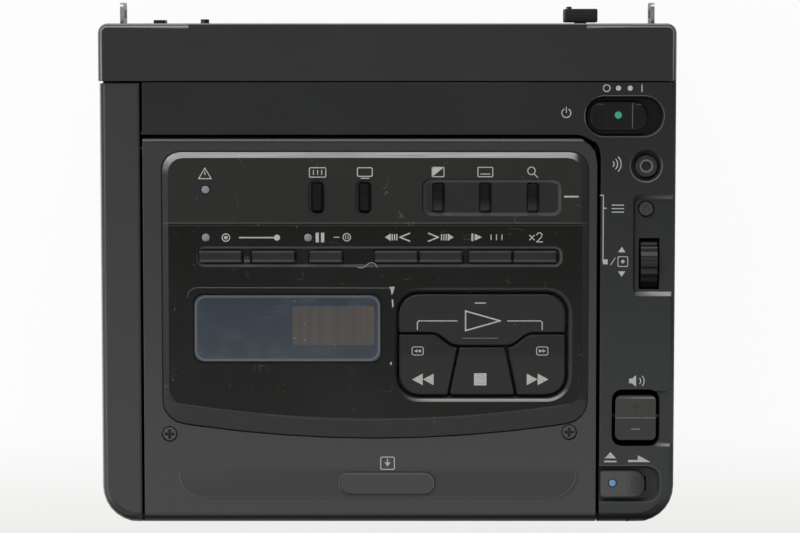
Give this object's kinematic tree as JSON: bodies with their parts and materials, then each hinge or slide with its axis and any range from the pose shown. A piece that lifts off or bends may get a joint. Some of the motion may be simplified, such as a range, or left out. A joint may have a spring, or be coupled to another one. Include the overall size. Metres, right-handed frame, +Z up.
{
  "type": "portable cassette video recorder",
  "caption": "Flat portable video cassette recorder with a hinged lid of push keys and a display, a slide switch, dial and rocker beside it, a jack door and a battery shoe.",
  "frame": {"origin": "under the middle of the overall box, on the plane that the feet stand on", "axes": "+X to the right, towards the control column; +Y to the rear, towards the battery shoe; +Z up through the lid"},
  "size_m": [0.148, 0.1336, 0.0585],
  "materials": {
    "shell": "matte charcoal",
    "base": "matte dark grey",
    "door": "satin grey",
    "lid": "satin grey metallic",
    "panel": "gloss black, with light wear",
    "key": "smooth dark grey",
    "cluster_key": "smooth dark grey",
    "window": "clear window, blue-grey tint",
    "screen": "unlit liquid-crystal grey",
    "lens": "small clear lens",
    "slider": "satin dark grey",
    "dial": "ribbed dark grey",
    "rubber": "matte black",
    "steel": "plated sheet steel",
    "drum": "polished",
    "board": "green laminate",
    "reel": "white moulding",
    "contact": "gold-coloured contacts in their block",
    "jack": "matte black"
  },
  "bodies": {
    "case": {"lower_housing": "base", "rear_cabinet": "shell", "control_frame": "shell", "foot_front_left": "rubber", "foot_front_right": "rubber", "foot_rear_left": "rubber", "foot_rear_right": "rubber", "battery_terminal": "contact", "dc_inlet": "jack", "strap_lug_left": "steel", "strap_lug_right": "steel", "main_board": "board", "deck_chassis": "steel", "lower_drum": "drum", "jack_panel": "jack", "svideo_socket": "jack", "digital_socket": "jack", "av_socket": "jack", "phones_socket": "jack", "remote_socket": "jack", "lid_hinge_rod": "steel"},
    "lid": {"lid_frame": "lid", "lid_panel": "panel", "display_window": "window", "display_module": "screen", "warning_lens": "lens", "record_lens": "lens", "pause_lens": "lens", "lid_screw_left": "steel", "lid_screw_right": "steel", "cassette_holder": "steel"},
    "jack_door": {"jack_door": "door"},
    "battery_release": {"battery_release": "slider"},
    "power_slide": {"power_slide": "slider"},
    "eject_slide": {"eject_slide": "slider"},
    "link_button": {"link_button": "slider"},
    "menu_button": {"menu_button": "slider"},
    "select_dial": {"select_dial": "dial"},
    "volume_rocker": {"volume_rocker": "slider"},
    "upper_drum": {"upper_drum": "drum"},
    "supply_reel": {"supply_reel": "reel"},
    "takeup_reel": {"takeup_reel": "reel"},
    "capstan_flywheel": {"capstan_flywheel": "steel"},
    "pinch_roller": {"pinch_roller": "rubber"},
    "data_key": {"data_key": "key"},
    "display_key": {"display_key": "key"},
    "effect_key": {"effect_key": "key"},
    "title_key": {"title_key": "key"},
    "zoom_key": {"zoom_key": "key"},
    "record_left_key": {"record_left_key": "key"},
    "record_right_key": {"record_right_key": "key"},
    "pause_key": {"pause_key": "key"},
    "reverse_frame_key": {"reverse_frame_key": "key"},
    "forward_frame_key": {"forward_frame_key": "key"},
    "slow_key": {"slow_key": "key"},
    "double_speed_key": {"double_speed_key": "key"},
    "play_key": {"play_key": "cluster_key"},
    "stop_key": {"stop_key": "cluster_key"},
    "rewind_key": {"rewind_key": "cluster_key"},
    "forward_key": {"forward_key": "cluster_key"}
  },
  "joints": [
    {"name": "lid_hinge", "type": "hinge", "parent": "case", "child": "lid", "pos_m": [0, 0.02938, 0.054], "axis": [-1, 0, 0], "range_deg": [0, 45]},
    {"name": "jack_door_hinge", "type": "hinge", "parent": "case", "child": "jack_door", "pos_m": [-0.07165, 0, 0.014], "axis": [0, -1, 0], "range_deg": [0, 90]},
    {"name": "battery_release_slide", "type": "slide", "parent": "case", "child": "battery_release", "axis": [1, 0, 0], "range_m": [0, 0.003], "stiffness_N_per_m": 600},
    {"name": "power_switch_slide", "type": "slide", "parent": "case", "child": "power_slide", "axis": [1, 0, 0], "range_m": [0, 0.0036]},
    {"name": "eject_switch_slide", "type": "slide", "parent": "case", "child": "eject_slide", "axis": [1, 0, 0], "range_m": [0, 0.0033], "stiffness_N_per_m": 600},
    {"name": "link_button_press", "type": "slide", "parent": "case", "child": "link_button", "axis": [0, 0, -1], "range_m": [0, 0.0008], "stiffness_N_per_m": 800},
    {"name": "menu_button_press", "type": "slide", "parent": "case", "child": "menu_button", "axis": [0, 0, -1], "range_m": [0, 0.0006], "stiffness_N_per_m": 800},
    {"name": "select_dial_turn", "type": "hinge", "parent": "case", "child": "select_dial", "pos_m": [0.0673, 0.0001, 0.0504], "axis": [1, 0, 0], "continuous": true},
    {"name": "volume_rocker_tilt", "type": "hinge", "parent": "case", "child": "volume_rocker", "pos_m": [0.06403, -0.03965, 0.0536], "axis": [1, 0, 0], "range_deg": [-4, 4], "stiffness_Nm_per_rad": 0.05},
    {"name": "drum_spin", "type": "hinge", "parent": "case", "child": "upper_drum", "pos_m": [-0.00445, 0.0173, 0.02945], "axis": [0, 0.0872, 0.9962], "continuous": true},
    {"name": "supply_reel_spin", "type": "hinge", "parent": "case", "child": "supply_reel", "pos_m": [-0.02745, -0.02605, 0.03], "axis": [0, 0, 1], "continuous": true},
    {"name": "takeup_reel_spin", "type": "hinge", "parent": "case", "child": "takeup_reel", "pos_m": [0.01855, -0.02605, 0.03], "axis": [0, 0, 1], "continuous": true},
    {"name": "capstan_spin", "type": "hinge", "parent": "case", "child": "capstan_flywheel", "pos_m": [0.02555, 0.00765, 0.03], "axis": [0, 0, 1], "continuous": true},
    {"name": "pinch_roller_spin", "type": "hinge", "parent": "case", "child": "pinch_roller", "pos_m": [0.02555, 0.0157, 0.035], "axis": [0, 0, 1], "continuous": true},
    {"name": "data_key_press", "type": "slide", "parent": "lid", "child": "data_key", "axis": [0, 0, -1], "range_m": [0, 0.0008], "stiffness_N_per_m": 800},
    {"name": "display_key_press", "type": "slide", "parent": "lid", "child": "display_key", "axis": [0, 0, -1], "range_m": [0, 0.0008], "stiffness_N_per_m": 800},
    {"name": "effect_key_press", "type": "slide", "parent": "lid", "child": "effect_key", "axis": [0, 0, -1], "range_m": [0, 0.0008], "stiffness_N_per_m": 800},
    {"name": "title_key_press", "type": "slide", "parent": "lid", "child": "title_key", "axis": [0, 0, -1], "range_m": [0, 0.0008], "stiffness_N_per_m": 800},
    {"name": "zoom_key_press", "type": "slide", "parent": "lid", "child": "zoom_key", "axis": [0, 0, -1], "range_m": [0, 0.0008], "stiffness_N_per_m": 800},
    {"name": "record_left_key_press", "type": "slide", "parent": "lid", "child": "record_left_key", "axis": [0, 0, -1], "range_m": [0, 0.0008], "stiffness_N_per_m": 800},
    {"name": "record_right_key_press", "type": "slide", "parent": "lid", "child": "record_right_key", "axis": [0, 0, -1], "range_m": [0, 0.0008], "stiffness_N_per_m": 800},
    {"name": "pause_key_press", "type": "slide", "parent": "lid", "child": "pause_key", "axis": [0, 0, -1], "range_m": [0, 0.0008], "stiffness_N_per_m": 800},
    {"name": "reverse_frame_key_press", "type": "slide", "parent": "lid", "child": "reverse_frame_key", "axis": [0, 0, -1], "range_m": [0, 0.0008], "stiffness_N_per_m": 800},
    {"name": "forward_frame_key_press", "type": "slide", "parent": "lid", "child": "forward_frame_key", "axis": [0, 0, -1], "range_m": [0, 0.0008], "stiffness_N_per_m": 800},
    {"name": "slow_key_press", "type": "slide", "parent": "lid", "child": "slow_key", "axis": [0, 0, -1], "range_m": [0, 0.0008], "stiffness_N_per_m": 800},
    {"name": "double_speed_key_press", "type": "slide", "parent": "lid", "child": "double_speed_key", "axis": [0, 0, -1], "range_m": [0, 0.0008], "stiffness_N_per_m": 800},
    {"name": "play_key_press", "type": "slide", "parent": "lid", "child": "play_key", "axis": [0, 0, -1], "range_m": [0, 0.0008], "stiffness_N_per_m": 800},
    {"name": "stop_key_press", "type": "slide", "parent": "lid", "child": "stop_key", "axis": [0, 0, -1], "range_m": [0, 0.0008], "stiffness_N_per_m": 800},
    {"name": "rewind_key_press", "type": "slide", "parent": "lid", "child": "rewind_key", "axis": [0, 0, -1], "range_m": [0, 0.0008], "stiffness_N_per_m": 800},
    {"name": "forward_key_press", "type": "slide", "parent": "lid", "child": "forward_key", "axis": [0, 0, -1], "range_m": [0, 0.0008], "stiffness_N_per_m": 800}
  ]
}
